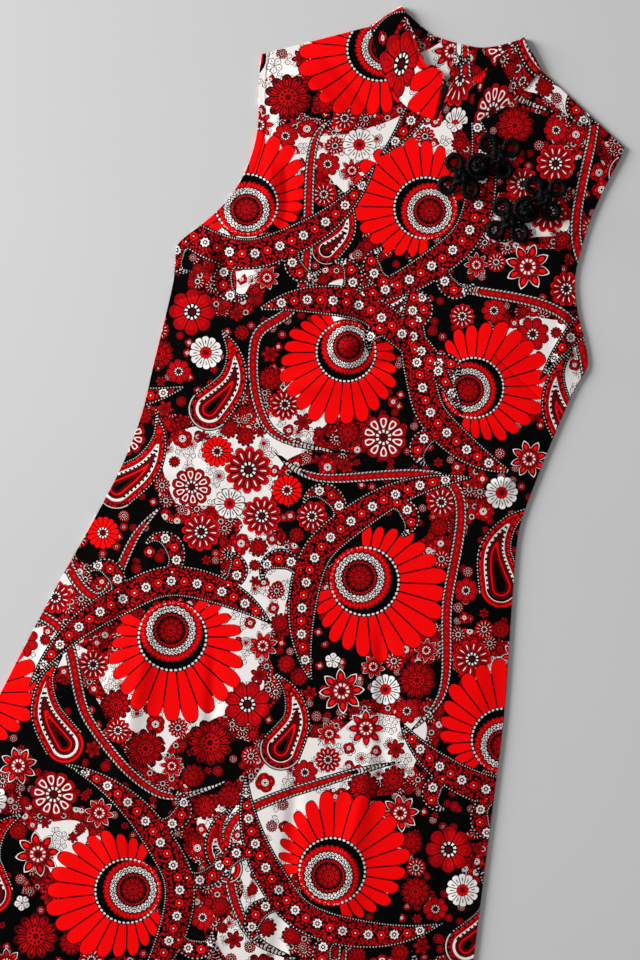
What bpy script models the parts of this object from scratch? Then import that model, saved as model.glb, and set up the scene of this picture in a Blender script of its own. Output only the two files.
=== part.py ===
"""Sleeveless cheongsam shift, laid flat on its back.

A front panel lies on two back panels, with a zip between them. The stand collar is in two halves,
each folded flat at the side of the neck. Two cord frogs with ball knots are sewn on the front.
Left and right are as the dress is seen from above, with the collar away from the viewer.

Places on the dress are given as (across, down) in millimetres: across from the middle of the
front, positive to the right, and down from the base of the neck towards the hem.
"""

import math

import bmesh
import bpy
from mathutils import Matrix, Vector

MM = 0.001

# Cloth and seams
WALL = 1.2                   # one panel
COLLAR_WALL = 1.6            # two cloths with interfacing
SEAM_GAP = 0.3               # between pieces that are sewn together

# Cut of the panels
NECK_HALF = 88.0             # base of the neck to the top of the shoulder seam
NECK_TOP = -58.0             # the top of the shoulder seam, down
SHOULDER_END = -4.0          # the outer end of the shoulder seam, down
FRONT_NECK_DROP = 75.0       # below the top of the shoulder seam
BACK_NECK_DROP = 34.0
FRONT_NECK_POWER = 2.6       # how square the curve of the neckline is
BACK_NECK_POWER = 2.2
HEM = 1090.0
HEM_RISE = 14.0              # the hem curves up to the side seams
ARMPIT = 214.0
YOKE_TURN = 0.04             # the yoke lies turned by this much, in radians
MIDDLE_ACROSS = 2.0          # centre of the garment's box
MIDDLE_DOWN = 501.0

# Side edges of the panels: armholes down to the armpit, side seams below
EDGES = (
    # down, left, right
    (-14, 187, 189),
    (4, 185, 187),
    (20, 182, 184),
    (40, 176.5, 180),
    (70, 169, 176),
    (100, 167, 175.5),
    (130, 170.5, 178),
    (160, 181, 190),
    (185, 196, 205),
    (205, 210, 214.5),
    (214, 212, 214.5),
    (228, 209, 210.5),
    (250, 205, 207),
    (330, 200.5, 199),
    (385, 197.5, 197),
    (440, 202, 207.5),
    (500, 213.5, 221),
    (570, 229, 236.5),
    (640, 243, 248.5),
    (780, 268, 272),
    (1090, 321, 325),
)

# How the front panel lies over the back
EDGE_LIFT = SEAM_GAP         # above the back along the seams
LOFT = 2.2                   # above the back away from the edges
LOFT_RUN = 34.0              # from a seam to the full loft

# Soft ridges (positive) and troughs (negative) of the front panel
FOLDS = (
    # across 1, down 1, across 2, down 2, half width, height
    (-118, 224, -106, 216, 46, 1.1),      # fullness at the point of the left dart
    (120, 224, 108, 216, 46, 1.1),        # fullness at the point of the right dart
    (-200, 264, -122, 226, 12, -0.9),     # left dart
    (200, 262, 124, 226, 12, -0.9),       # right dart
    (-176, 176, -118, 232, 16, -0.8),     # drag from the left underarm
    (178, 180, 126, 236, 16, -0.8),       # drag from the right underarm
    (-70, 318, 60, 296, 24, 0.8),         # roll below the bust
    (-150, 404, 20, 372, 26, -0.8),       # hollow of the waist
    (60, 420, 170, 396, 22, 0.7),
    (-120, 560, -60, 860, 30, 0.8),       # long rolls of the skirt
    (110, 600, 170, 980, 34, 0.8),
    (0, 690, -10, 1040, 28, -0.7),
)

COLLAR_CF_GAP = 0.6          # from the middle line to the front end of each half
COLLAR_CB_GAP = 0.2          # from the middle line to the back end of each half
FOLD_GAP = 0.5               # from the top of the shoulder seam to the fold of the collar

# Front half of a collar piece, from the middle of the front to the fold at the side of the neck
COLLAR_TOP = (
    # share of the way, across, down
    (0.00, 4.0, -23.0),
    (0.04, 5.5, -29.0),
    (0.10, 10.0, -32.5),
    (0.25, 18.0, -33.0),
    (0.40, 27.0, -36.0),
    (0.60, 36.0, -48.0),
    (0.80, 47.0, -65.0),
    (1.00, 63.0, -85.0),
)
COLLAR_BACK_TOP = (
    # share of the way from the middle of the back, across, down
    (0.00, COLLAR_CB_GAP, -63.5),
    (0.25, 13.0, -64.0),
    (0.50, 27.0, -66.0),
    (0.75, 43.0, -73.0),
    (1.00, 63.0, -85.0),
)
COLLAR_LOW_EDGE = 4.0        # height of the front half's middle layer at the neckline
COLLAR_HIGH_EDGE = 6.0       # and at its free top edge
COLLAR_CROWN = 0.5

# Zip
ZIP_WIDTH = 24.0
ZIP_WALL = 0.7
ZIP_TOP = -20.0
ZIP_END = 430.0

# Frogs
CORD = 4.6                   # cord thickness
CORD_HEIGHT = 3.8            # pressed a little flat where it is sewn down
LOOP_RADIUS = 8.0            # middle of the cord round one loop
LOOP_REACH = 16.2            # from the middle of a clover to the middle of a loop
CLOVER_OFFSET = 21.5         # from the knot to the middle of a clover
CLOVER_HEART = 8.4           # radius of the crossed cords at the middle of a clover
HEART_RISE = 1.15            # their height, in cords
PAIR_RISE = 0.9              # height of the two cords of a stem, in cords
STEM_GAP = 0.5               # from the left stem to the button loop
KNOT_RADIUS = 6.8
KNOT_HEIGHT = 11.5
BUTTON_LOOP_RADIUS = 9.8
FROG_LIFT = 0.6              # above the cloth, as the cloth is faceted
FROGS = (
    # name, across, down, turn in degrees
    ("upper_frog", 54.0, 49.0, 47.0),
    ("lower_frog", 111.5, 76.0, 51.0),
)

# Mesh steps
PANEL_COLUMNS = 30
NECK_COLUMNS = 7             # from the middle of a panel to the top of its shoulder seam
NECK_SETTLE = 60.0           # below the neckline, where columns begin to follow the sides
PANEL_ROWS = 46
BACK_ROWS = 30
ROW_SPREAD = 1.35            # rows lie closer together towards the neck

CLOTH_RED = (0.42, 0.01, 0.02, 1.0)
CLOTH_DARK = (0.16, 0.008, 0.012, 1.0)
CORD_BLACK = (0.008, 0.008, 0.010, 1.0)
ZIP_BLACK = (0.015, 0.012, 0.014, 1.0)


def read_curve(table, column, at):
    """A smooth value between the rows of a table whose first column rises."""
    rows = len(table)
    last = rows - 2
    start = 0
    while start < last and at > table[start + 1][0]:
        start += 1

    def slope(row):
        low = max(row - 1, 0)
        high = min(row + 1, rows - 1)
        return (table[high][column] - table[low][column]) / (table[high][0] - table[low][0])

    run = table[start + 1][0] - table[start][0]
    t = min(max((at - table[start][0]) / run, 0.0), 1.0)
    first, second = table[start][column], table[start + 1][column]
    return (
        first * (1 + 2 * t) * (1 - t) ** 2
        + slope(start) * run * t * (1 - t) ** 2
        + second * t * t * (3 - 2 * t)
        + slope(start + 1) * run * t * t * (t - 1)
    )


def ease(value):
    value = min(max(value, 0.0), 1.0)
    return value * value * (3 - 2 * value)


def to_world(across, down, height):
    return Vector(((across - MIDDLE_ACROSS) * MM, (MIDDLE_DOWN - down) * MM, height * MM))


def laid(across, down, height):
    """A point of the cut, in the world: above the armpits the yoke lies a little turned."""
    fade = 1 - ease(down / ARMPIT)
    return to_world(
        across + YOKE_TURN * min(down, 0.0), down - YOKE_TURN * across * fade, height)


# ---------------------------------------------------------------- panels

def neckline(across, drop):
    """How far down the neckline is, straight between the panel's columns."""
    power = FRONT_NECK_POWER if drop == FRONT_NECK_DROP else BACK_NECK_POWER
    place = abs(across) / NECK_HALF * NECK_COLUMNS
    column = min(int(place), NECK_COLUMNS - 1)
    first, second = (
        NECK_TOP + drop * (1 - (corner / NECK_COLUMNS) ** power)
        for corner in (column, column + 1))
    return first + (second - first) * (place - column)


def panel_top(share, drop):
    """Top edge of a panel, at a share from -1 to 1 of the way from its middle to its side."""
    neck_share = 2 * NECK_COLUMNS / PANEL_COLUMNS
    if abs(share) <= neck_share:
        return neckline(share / neck_share * NECK_HALF, drop)
    run = (abs(share) - neck_share) / (1 - neck_share)
    return NECK_TOP + (SHOULDER_END - NECK_TOP) * run


def side_edge(across, down):
    """How far the panel reaches on this side of its middle."""
    side = 1 if across < 0 else 2
    return read_curve(EDGES, side, max(down, SHOULDER_END))


def panel_place(share, row_share, drop):
    """A point of a panel: share across it, and row_share from its top edge to its hem."""
    top = panel_top(share, drop)
    hem = HEM - HEM_RISE * share * share
    down = top + (hem - top) * row_share ** ROW_SPREAD
    neck_share = 2 * NECK_COLUMNS / PANEL_COLUMNS
    inside = min(abs(share) / neck_share, 1.0)
    outside = max(abs(share) - neck_share, 0.0) / (1 - neck_share)
    shoulder_edge = side_edge(share, SHOULDER_END)
    across = NECK_HALF * inside + (shoulder_edge - NECK_HALF) * outside
    follow_side = max(ease((down - top) / NECK_SETTLE), outside)
    across *= 1 + (side_edge(share, down) / shoulder_edge - 1) * follow_side
    return math.copysign(across, share), down


def fold_height(across, down):
    """Height of the ridges and troughs at a point of the front panel."""
    height = 0.0
    for across_1, down_1, across_2, down_2, half_width, rise in FOLDS:
        start = Vector((across_1, down_1))
        along = Vector((across_2, down_2)) - start
        share = (Vector((across, down)) - start).dot(along) / along.length_squared
        share = min(max(share, 0.0), 1.0)
        distance = (Vector((across, down)) - start - along * share).length
        height += rise * math.exp(-2.2 * (distance / half_width) ** 2)
    return height


def front_under(across, down):
    """Height of the front panel's under side."""
    from_side = side_edge(across, down) - abs(across)
    from_hem = HEM - HEM_RISE * (across / EDGES[-1][2]) ** 2 - down
    full = ease(from_side / LOFT_RUN) * ease(from_hem / LOFT_RUN)
    if abs(across) > NECK_HALF:
        run = (abs(across) - NECK_HALF) / (side_edge(across, SHOULDER_END) - NECK_HALF)
        shoulder = NECK_TOP + (SHOULDER_END - NECK_TOP) * run
        full *= ease((down - shoulder) / LOFT_RUN)
    else:
        full *= ease((down - NECK_TOP) / LOFT_RUN)
    lift = EDGE_LIFT + (LOFT - EDGE_LIFT + fold_height(across, down)) * full
    return WALL + max(lift, EDGE_LIFT)


def front_top(across, down):
    return front_under(across, down) + WALL


def new_object(name, mesh, colour, roughness):
    """A named piece with a material of its own."""
    material = bpy.data.materials.new(name)
    material.use_nodes = True
    shader = material.node_tree.nodes["Principled BSDF"]
    shader.inputs["Base Color"].default_value = colour
    shader.inputs["Roughness"].default_value = roughness
    mesh.materials.clear()
    mesh.materials.append(material)
    piece = bpy.data.objects.new(name, mesh)
    garment.objects.link(piece)
    return piece


def thicken(piece, wall):
    """Give an open sheet its wall, on the side that its faces look to."""
    wall_modifier = piece.modifiers.new("wall", "SOLIDIFY")
    wall_modifier.thickness = wall * MM
    wall_modifier.offset = 1.0


def grid_mesh(name, columns, rows, place):
    """A sheet of columns by rows, with each point put at place(column share, row share)."""
    sheet = bmesh.new()
    bmesh.ops.create_grid(sheet, x_segments=columns, y_segments=rows, size=0.5)
    for vertex in sheet.verts:
        vertex.co = place(vertex.co.x + 0.5, 0.5 - vertex.co.y)
    bmesh.ops.recalc_face_normals(sheet, faces=sheet.faces)
    if sum(face.normal.z * face.calc_area() for face in sheet.faces) < 0:
        bmesh.ops.reverse_faces(sheet, faces=sheet.faces)
    mesh = bpy.data.meshes.new(name)
    sheet.to_mesh(mesh)
    sheet.free()
    return mesh


def make_front():
    def place(column, row):
        across, down = panel_place(2 * column - 1, row, FRONT_NECK_DROP)
        return laid(across, down, front_under(across, down))

    mesh = grid_mesh("front", PANEL_COLUMNS, PANEL_ROWS, place)
    thicken(new_object("front", mesh, CLOTH_RED, 0.55), WALL)


def make_back(name, side):
    """One back panel, flat on the surface, from the middle of the back to its side seam."""
    def place(column, row):
        across, down = panel_place(side * column, row, BACK_NECK_DROP)
        return laid(across + side * SEAM_GAP / 2 * (1 - column), down, 0.0)

    mesh = grid_mesh(name, PANEL_COLUMNS // 2, BACK_ROWS, place)
    thicken(new_object(name, mesh, CLOTH_DARK, 0.55), WALL)


def make_zip():
    """The zip's tape, on the inside of the two back panels."""
    def place(column, row):
        across = (column - 0.5) * ZIP_WIDTH
        down = ZIP_TOP + (ZIP_END - ZIP_TOP) * row
        return laid(across, down, WALL + SEAM_GAP)

    mesh = grid_mesh("back_zip", 2, 12, place)
    thicken(new_object("back_zip", mesh, ZIP_BLACK, 0.5), ZIP_WALL)


# ---------------------------------------------------------------- collar

def seam_point(across, drop):
    """A point one seam gap clear of a neckline, square to it."""
    step = NECK_HALF / NECK_COLUMNS / 2
    before, after = max(across - step, 0.0), min(across + step, NECK_HALF)
    fall = (neckline(after, drop) - neckline(before, drop)) / (after - before)
    length = math.hypot(fall, 1.0)
    return Vector((across + fall / length * SEAM_GAP,
                   neckline(across, drop) - SEAM_GAP / length))


def make_collar(name, side):
    """Half a stand collar: the back half lies on the surface and the front half lies over it."""
    low = COLLAR_WALL / 2
    fold_high = Vector((COLLAR_TOP[-1][1], COLLAR_TOP[-1][2]))
    shoulder_top = Vector((NECK_HALF, NECK_TOP))
    fold_line = (fold_high - shoulder_top).normalized()
    fold_low = shoulder_top + fold_line * FOLD_GAP
    outwards = Vector((-fold_line.y, fold_line.x))
    if outwards.x < 0:
        outwards = -outwards
    back_steps, fold_steps, front_steps = NECK_COLUMNS, 6, 2 * NECK_COLUMNS
    stations = back_steps + fold_steps + front_steps

    def fold_radius(rise):
        high = COLLAR_LOW_EDGE + (COLLAR_HIGH_EDGE - COLLAR_LOW_EDGE) * rise
        return (high - low) / 2

    def layer_point(rise, share, front):
        """Across, down and height in the front or back layer; share 1 is at the fold."""
        if front:
            bottom = seam_point(max(NECK_HALF * share, COLLAR_CF_GAP), FRONT_NECK_DROP)
            top = Vector((read_curve(COLLAR_TOP, 1, share), read_curve(COLLAR_TOP, 2, share)))
            height = COLLAR_LOW_EDGE + (COLLAR_HIGH_EDGE - COLLAR_LOW_EDGE) * rise
            height += COLLAR_CROWN * math.sin(math.pi * rise) * (1 - share ** 4)
        else:
            bottom = seam_point(max(NECK_HALF * share, COLLAR_CB_GAP), BACK_NECK_DROP)
            top = Vector((read_curve(COLLAR_BACK_TOP, 1, share),
                          read_curve(COLLAR_BACK_TOP, 2, share)))
            height = low
        bottom = bottom.lerp(fold_low, share ** 12)
        return bottom.lerp(top, rise) - outwards * fold_radius(rise) * share ** 6, height

    def place(column, row):
        rise = row
        station = round(column * stations)
        if station <= back_steps:
            flat, height = layer_point(rise, station / back_steps, False)
        elif station >= back_steps + fold_steps:
            share = 1 - (station - back_steps - fold_steps) / front_steps
            flat, height = layer_point(rise, share, True)
        else:
            angle = math.pi * ((station - back_steps) / fold_steps - 0.5)
            radius = fold_radius(rise)
            flat = fold_low.lerp(fold_high, rise) - outwards * radius * (1 - math.cos(angle))
            height = low + radius * (1 + math.sin(angle))
        return laid(side * flat.x, flat.y, height)

    mesh = grid_mesh(name, stations, 5, place)
    piece = new_object(name, mesh, CLOTH_RED, 0.55)
    thicken(piece, COLLAR_WALL)
    piece.modifiers["wall"].offset = 0.0
    piece.modifiers["wall"].use_even_offset = True


# ---------------------------------------------------------------- frogs

def cord_ring(name, points):
    """A closed loop of cord through the points."""
    curve = bpy.data.curves.new(name, "CURVE")
    curve.dimensions = "3D"
    curve.bevel_depth = CORD / 2 * MM
    curve.bevel_resolution = 2
    spline = curve.splines.new("POLY")
    spline.points.add(len(points) - 1)
    for spline_point, point in zip(spline.points, points):
        spline_point.co = (point.x * MM, point.y * MM, 0.0, 1.0)
    spline.use_cyclic_u = True
    ring = bpy.data.objects.new(name, curve)
    workshop.objects.link(ring)
    return ring


def loop_points(centre, direction, count):
    """One loop of a clover, drawn in towards the clover's middle like a petal."""
    aside = Vector((-direction.y, direction.x))
    points = []
    for step in range(count):
        angle = 2 * math.pi * step / count
        draw_in = 1 - 0.22 * ((1 - math.cos(angle)) / 2) ** 2
        points.append(centre + direction * LOOP_RADIUS * math.cos(angle)
                      + aside * LOOP_RADIUS * draw_in * math.sin(angle))
    return points


def workshop_piece(name, solid):
    """Keep a bmesh as a piece that is joined into another one."""
    mesh = bpy.data.meshes.new(name)
    solid.to_mesh(mesh)
    solid.free()
    piece = bpy.data.objects.new(name, mesh)
    workshop.objects.link(piece)
    return piece


def cord_heart(name, centre):
    """The crossed cords at the middle of a clover, as one low mound."""
    mound = bmesh.new()
    bmesh.ops.create_uvsphere(mound, u_segments=14, v_segments=8, radius=CLOVER_HEART * MM)
    bmesh.ops.scale(mound, verts=mound.verts, vec=(1.0, 1.0, CORD * HEART_RISE / 2 / CLOVER_HEART))
    bmesh.ops.translate(mound, verts=mound.verts, vec=(centre.x * MM, centre.y * MM, 0.0))
    return workshop_piece(name, mound)


def cord_pair(name, start, end):
    """Two cords side by side, from one place on the frog's middle line to another."""
    pair = bmesh.new()
    bmesh.ops.create_cube(pair, size=1.0)
    size = (abs(end - start) * MM, 2 * CORD * MM, CORD * PAIR_RISE * MM)
    bmesh.ops.scale(pair, verts=pair.verts, vec=size)
    long_edges = [edge for edge in pair.edges
                  if abs(edge.verts[0].co.x - edge.verts[1].co.x) > size[0] / 2]
    bmesh.ops.bevel(pair, geom=long_edges, offset=CORD * 0.3 * MM, segments=2, profile=0.5,
                    affect="EDGES", material=-1)
    bmesh.ops.translate(pair, verts=pair.verts, vec=((start + end) / 2 * MM, 0.0, 0.0))
    return workshop_piece(name, pair)


def mesh_of(piece):
    """The evaluated mesh of a piece, with a curve's loose caps welded."""
    view = bpy.context.evaluated_depsgraph_get()
    mesh = bpy.data.meshes.new_from_object(piece.evaluated_get(view))
    welded = bmesh.new()
    welded.from_mesh(mesh)
    bmesh.ops.remove_doubles(welded, verts=welded.verts, dist=1e-6)
    welded.to_mesh(mesh)
    welded.free()
    return mesh


def joined(name, pieces):
    """One closed mesh from pieces that cross each other."""
    solids = []
    for piece in pieces:
        solid = bpy.data.objects.new(piece.name + "_solid", mesh_of(piece))
        workshop.objects.link(solid)
        solids.append(solid)
    first = solids[0]
    for other in solids[1:]:
        union = first.modifiers.new(other.name, "BOOLEAN")
        union.operation = "UNION"
        union.object = other
    mesh = mesh_of(first)
    mesh.name = name
    for piece in pieces + solids:
        bpy.data.objects.remove(piece)
    return mesh


def lay_on_front(mesh, across, down, turn):
    """Turn a flat mesh, put it on the front panel and let it follow the cloth."""
    for vertex in mesh.vertices:
        flat = Matrix.Rotation(turn, 2) @ Vector((vertex.co.x, vertex.co.y)) / MM
        spot_across, spot_down = across + flat.x, down - flat.y
        height = front_top(spot_across, spot_down) + FROG_LIFT
        height += CORD_HEIGHT / 2 + vertex.co.z / MM * CORD_HEIGHT / CORD
        vertex.co = to_world(spot_across, spot_down, height)


def make_clover(name, side, across, down, turn):
    """Three loops of cord round a heart of crossed cords, and the stem to the knot."""
    middle = Vector((side * CLOVER_OFFSET, 0.0))
    pieces = []
    for number, heading in enumerate((0.0, 98.0, -98.0)):
        angle = math.radians(heading) + (0.0 if side > 0 else math.pi)
        direction = Vector((math.cos(angle), math.sin(angle)))
        centre = middle + direction * LOOP_REACH
        pieces.append(cord_ring(f"{name}_loop_{number}", loop_points(centre, direction, 14)))
    pieces.append(cord_heart(f"{name}_heart", middle))
    stem_end = BUTTON_LOOP_RADIUS if side > 0 else BUTTON_LOOP_RADIUS + CORD / 2 + STEM_GAP
    pieces.append(cord_pair(f"{name}_stem", side * stem_end, side * CLOVER_OFFSET))
    if side > 0:
        ring = [Vector((math.cos(angle), math.sin(angle))) * BUTTON_LOOP_RADIUS
                for angle in (2 * math.pi * step / 18 for step in range(18))]
        pieces.append(cord_ring(f"{name}_button_loop", ring))
    mesh = joined(name, pieces)
    lay_on_front(mesh, across, down, turn)
    new_object(name, mesh, CORD_BLACK, 0.6)


def make_knot(name, across, down):
    """The ball knot, which stands in the button loop."""
    ball = bmesh.new()
    bmesh.ops.create_uvsphere(ball, u_segments=12, v_segments=8, radius=1.0)
    bmesh.ops.scale(ball, verts=ball.verts,
                    vec=(KNOT_RADIUS * MM, KNOT_RADIUS * MM, KNOT_HEIGHT / 2 * MM))
    rest = front_top(across, down) + FROG_LIFT + KNOT_HEIGHT / 2
    bmesh.ops.translate(ball, verts=ball.verts, vec=to_world(across, down, rest))
    mesh = bpy.data.meshes.new(name)
    ball.to_mesh(mesh)
    ball.free()
    mesh.shade_smooth()
    new_object(name, mesh, CORD_BLACK, 0.6)


# ---------------------------------------------------------------- the dress

for leftover in list(bpy.data.objects):
    bpy.data.objects.remove(leftover)

garment = bpy.data.collections.new("cheongsam dress")
workshop = bpy.data.collections.new("workshop")
bpy.context.scene.collection.children.link(garment)
bpy.context.scene.collection.children.link(workshop)

make_back("back_left", -1)
make_back("back_right", 1)
make_zip()
make_front()
make_collar("collar_left", -1)
make_collar("collar_right", 1)
for frog, frog_across, frog_down, frog_turn in FROGS:
    angle = math.radians(frog_turn)
    make_clover(f"{frog}_left", -1, frog_across, frog_down, angle)
    make_clover(f"{frog}_right", 1, frog_across, frog_down, angle)
    make_knot(f"{frog}_knot", frog_across, frog_down)
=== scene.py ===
"""Looks of a sleeveless cheongsam shift in printed knit, laid flat on its back.

Places on the dress are (across, down) in millimetres, as a maker measures them: across from the
middle of the front, positive to the right, and down from the base of the neck towards the hem.
"""

import math
from functools import partial

import bmesh
import bpy
import numpy as np
from mathutils import Matrix, Vector


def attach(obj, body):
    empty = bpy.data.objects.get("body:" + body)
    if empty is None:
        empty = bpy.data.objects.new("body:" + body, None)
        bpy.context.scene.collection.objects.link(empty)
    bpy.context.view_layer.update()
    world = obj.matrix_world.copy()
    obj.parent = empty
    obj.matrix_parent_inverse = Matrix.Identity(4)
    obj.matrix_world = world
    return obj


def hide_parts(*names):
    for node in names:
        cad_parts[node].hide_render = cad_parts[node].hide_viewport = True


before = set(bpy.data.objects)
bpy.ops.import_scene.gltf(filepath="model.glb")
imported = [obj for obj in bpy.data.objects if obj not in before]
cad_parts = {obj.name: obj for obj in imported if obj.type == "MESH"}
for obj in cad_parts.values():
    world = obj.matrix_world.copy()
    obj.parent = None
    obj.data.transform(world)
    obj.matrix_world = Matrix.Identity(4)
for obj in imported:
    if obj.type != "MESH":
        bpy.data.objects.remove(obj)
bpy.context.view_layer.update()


# ------------------------ board, lamps and camera
# A matt, pale grey painted board. One wide soft lamp stands at the upper left and the room fills
# in the rest, so the board is lighter on the left and each edge has a short soft shadow.

BOARD_SIZE = 16.0
LAMP_AIM = Vector((0.0, 0.1, 0.0))
VIEW_CENTRE = (-0.010, 0.107)  # on the board, in metres
VIEW_TURN = math.radians(16.75)  # the dress lies turned by this much in the view
VIEW_TALL = 0.96  # metres of board from top to bottom of the view
LENS, SENSOR = 85.0, 36.0


def linear(hex_colour):
    """An sRGB hex colour as linear red, green, blue and alpha."""
    parts = [int(hex_colour[place:place + 2], 16) / 255 for place in (0, 2, 4)]
    return (*((part / 12.92) if part <= 0.04045 else ((part + 0.055) / 1.055) ** 2.4
              for part in parts), 1.0)


def add(tree, kind, *values, stops=None, **settings):
    """Add a node. Its kind may end in an operation, as in "VectorMath SCALE", and one in capitals
    is a Math operation. Settings have small letters. The open inputs get a value or a link each,
    in order or by their own names, such as Base_Color."""
    kind, _, operation = (f"Math {kind}" if kind.isupper() else kind).partition(" ")
    made = tree.nodes.new(kind if kind.startswith("Node") else "ShaderNode" + kind)
    if operation:
        made.operation = operation
    if kind == "Mix":
        made.data_type = "RGBA"
    for name, setting in settings.items():
        if name.islower():
            setattr(made, name, setting)
    if stops:
        ramp = made.color_ramp
        ramp.interpolation = "CONSTANT"
        ramp.elements.remove(ramp.elements[1])
        ramp.elements[0].position, ramp.elements[0].color = stops[0]
        for position, colour in stops[1:]:
            ramp.elements.new(position).color = colour
    pairs = list(zip([socket for socket in made.inputs if socket.enabled], values))
    pairs += [(made.inputs[name.replace("_", " ")], value) for name, value in settings.items()
              if not name.islower()]
    for socket, value in pairs:
        if isinstance(value, bpy.types.Node):
            value = next(output for output in value.outputs if output.enabled)
        if isinstance(value, bpy.types.NodeSocket):
            tree.links.new(value, socket)
        elif value is not None:
            socket.default_value = value
    return made


def new_finish(name):
    """An empty material, and the function that adds a node to it."""
    material = bpy.data.materials.new(name)
    material.use_nodes = True
    material.node_tree.nodes.clear()
    return material, partial(add, material.node_tree)


def new_mesh(name, shape):
    mesh = bpy.data.meshes.new(name)
    shape.to_mesh(mesh)
    shape.free()
    return mesh


def new_object(name, data):
    thing = bpy.data.objects.new(name, data)
    bpy.context.scene.collection.objects.link(thing)
    return thing


def board():
    """Painted board: very matt, with a faint cloudiness from the roller."""
    sheet = bmesh.new()
    bmesh.ops.create_grid(sheet, x_segments=2, y_segments=2, size=BOARD_SIZE / 2)
    piece = new_object("board", new_mesh("board", sheet))
    material, node = new_finish("matt painted board")
    cloudy = node("TexNoise", node("TexCoord").outputs["Object"], Scale=3.0, Detail=2.0)
    tone = node("Mix", cloudy, linear("C3C3C4"), linear("C8C8C8"))
    node("OutputMaterial", node("BsdfPrincipled", Base_Color=tone, Roughness=0.9,
                                Specular_IOR_Level=0.1))
    piece.data.materials.append(material)


board()
for name, place, size, power, spread in (
        ("window", (-3.8, 0.50, 1.20), 2.3, 80.0, 75.0),
        ("right wall", (2.6, -0.4, 1.9), 2.4, 3.0, 180.0),
        ("far wall", (-0.6, 2.7, 1.9), 2.4, 4.0, 180.0),
        ("near wall", (0.2, -2.6, 1.9), 2.4, 6.0, 180.0)):
    light = bpy.data.lights.new(name, "AREA")
    light.shape, light.size, light.energy = "DISK", size, power
    light.spread = math.radians(spread)
    lamp = new_object(name, light)
    lamp.location = place
    lamp.rotation_euler = (LAMP_AIM - lamp.location).to_track_quat("-Z", "Y").to_euler()
world = bpy.data.worlds.new("room")
world.use_nodes = True
room_light = world.node_tree.nodes["Background"].inputs
room_light["Color"].default_value = (1.0, 1.0, 1.0, 1.0)
room_light["Strength"].default_value = 0.24
bpy.context.scene.world = world

eye = new_object("camera", bpy.data.cameras.new("camera"))
eye.data.lens = LENS
eye.data.sensor_width = SENSOR
eye.location = (*VIEW_CENTRE, VIEW_TALL * LENS / SENSOR)
eye.rotation_euler = (0.0, 0.0, VIEW_TURN)
bpy.context.scene.camera = eye
bpy.context.scene.view_settings.view_transform = "Standard"


# ------------------------ the printed cloth
# A smooth polyester knit, screen printed in scarlet, crimson, black and white. Big many-petalled
# blooms, beaded scroll bands and paisleys are set in a half-drop repeat, and rosettes, daisies
# and buds fill the black and white ground between them.

MM = 0.001
REPEAT_ACROSS, REPEAT_DOWN = 400.0, 880.0  # each column drops by half of the repeat
SCARLET, CHERRY = linear("F20406"), linear("C0050C")
CRIMSON, WINE = linear("98040B"), linear("4E0408")
BLACK, WHITE, CHALK = linear("020202"), linear("E9E1DE"), linear("C4B8B5")

BLOOMS = (
    # across, down, radius, turn of the heart in degrees
    (14, 104, 64, 200), (296, 146, 71, 60), (112, 262, 63, -40), (326, 402, 67, 150),
    (64, 478, 71, 20), (242, 590, 66, 250), (380, 704, 62, 100), (116, 764, 69, -70),
)
SCROLLS = (
    # bloom that the band curls round, direction of its middle and half of its sweep in degrees,
    # how far its two tails swing out, and the curls that spring from it:
    # (row of the band, side, length, turn in degrees)
    (0, 20, 104, 62, 92, ((16, -1, 74, 200), (31, -1, 66, 190), (41, 1, 60, 170))),
    (1, 240, 96, 96, 44, ((12, -1, 70, 200), (25, -1, 78, 210), (38, -1, 58, 180))),
    (2, 140, 92, 44, 90, ((14, -1, 64, 200), (32, 1, 60, 190), (40, -1, 70, 180))),
    (3, -30, 104, 92, 56, ((10, -1, 72, 200), (22, -1, 74, 190), (36, -1, 66, 200))),
    (4, 200, 100, 60, 96, ((15, -1, 72, 190), (30, -1, 78, 200), (40, 1, 60, 170))),
    (5, 70, 104, 84, 54, ((12, -1, 66, 190), (26, -1, 74, 200), (37, -1, 60, 200))),
    (6, 280, 92, 50, 84, ((14, -1, 64, 190), (33, -1, 70, 200))),
    (7, 110, 102, 70, 76, ((13, -1, 70, 200), (27, -1, 76, 190), (39, -1, 62, 200))),
)
FAN_HALF = 9.5 / 26 * math.tau  # half of the fan of petals round a bloom's heart
SCROLL_CLEAR = 0.78  # radius of a scroll's middle line, as a share of its bloom's
SCROLL_HALF = 15.0  # half width of a scroll band
PAISLEYS = (
    # points of the middle line: across, down, half width
    ((214, -66, 1), (226, -40, 8), (222, -8, 16), (200, 20, 22)),
    ((196, 196, 1), (188, 224, 8), (198, 256, 17), (224, 280, 22)),
    ((10, 150, 1), (24, 178, 7), (18, 204, 13), (0, 222, 17)),
    ((206, 356, 1), (186, 380, 9), (180, 412, 18), (196, 444, 24)),
    ((0, 590, 1), (24, 604, 8), (38, 630, 15), (32, 662, 22)),
    ((250, 716, 1), (272, 736, 8), (280, 766, 16), (266, 798, 22)),
    ((404, 290, 1), (394, 312, 7), (398, 336, 12), (416, 352, 15)),
    ((322, 546, 1), (340, 566, 7), (344, 590, 12), (332, 612, 16)),
)
BRAIDS = (
    ((128, -80, 1), (150, -40, 5), (166, 90, 6), (216, 130, 6), (232, 60, 5), (250, 20, 1)),
    ((20, 150, 1), (60, 170, 5), (180, 168, 6), (240, 250, 6), (330, 300, 5), (398, 262, 1)),
    ((-60, 380, 1), (-10, 392, 5), (120, 360, 6), (150, 480, 6), (170, 560, 5), (150, 610, 1)),
    ((150, 640, 1), (96, 672, 5), (10, 740, 6), (20, 800, 6), (60, 850, 5), (120, 860, 1)),
    ((300, 480, 1), (290, 520, 5), (320, 660, 6), (290, 720, 6), (330, 800, 5), (420, 800, 1)),
)

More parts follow.
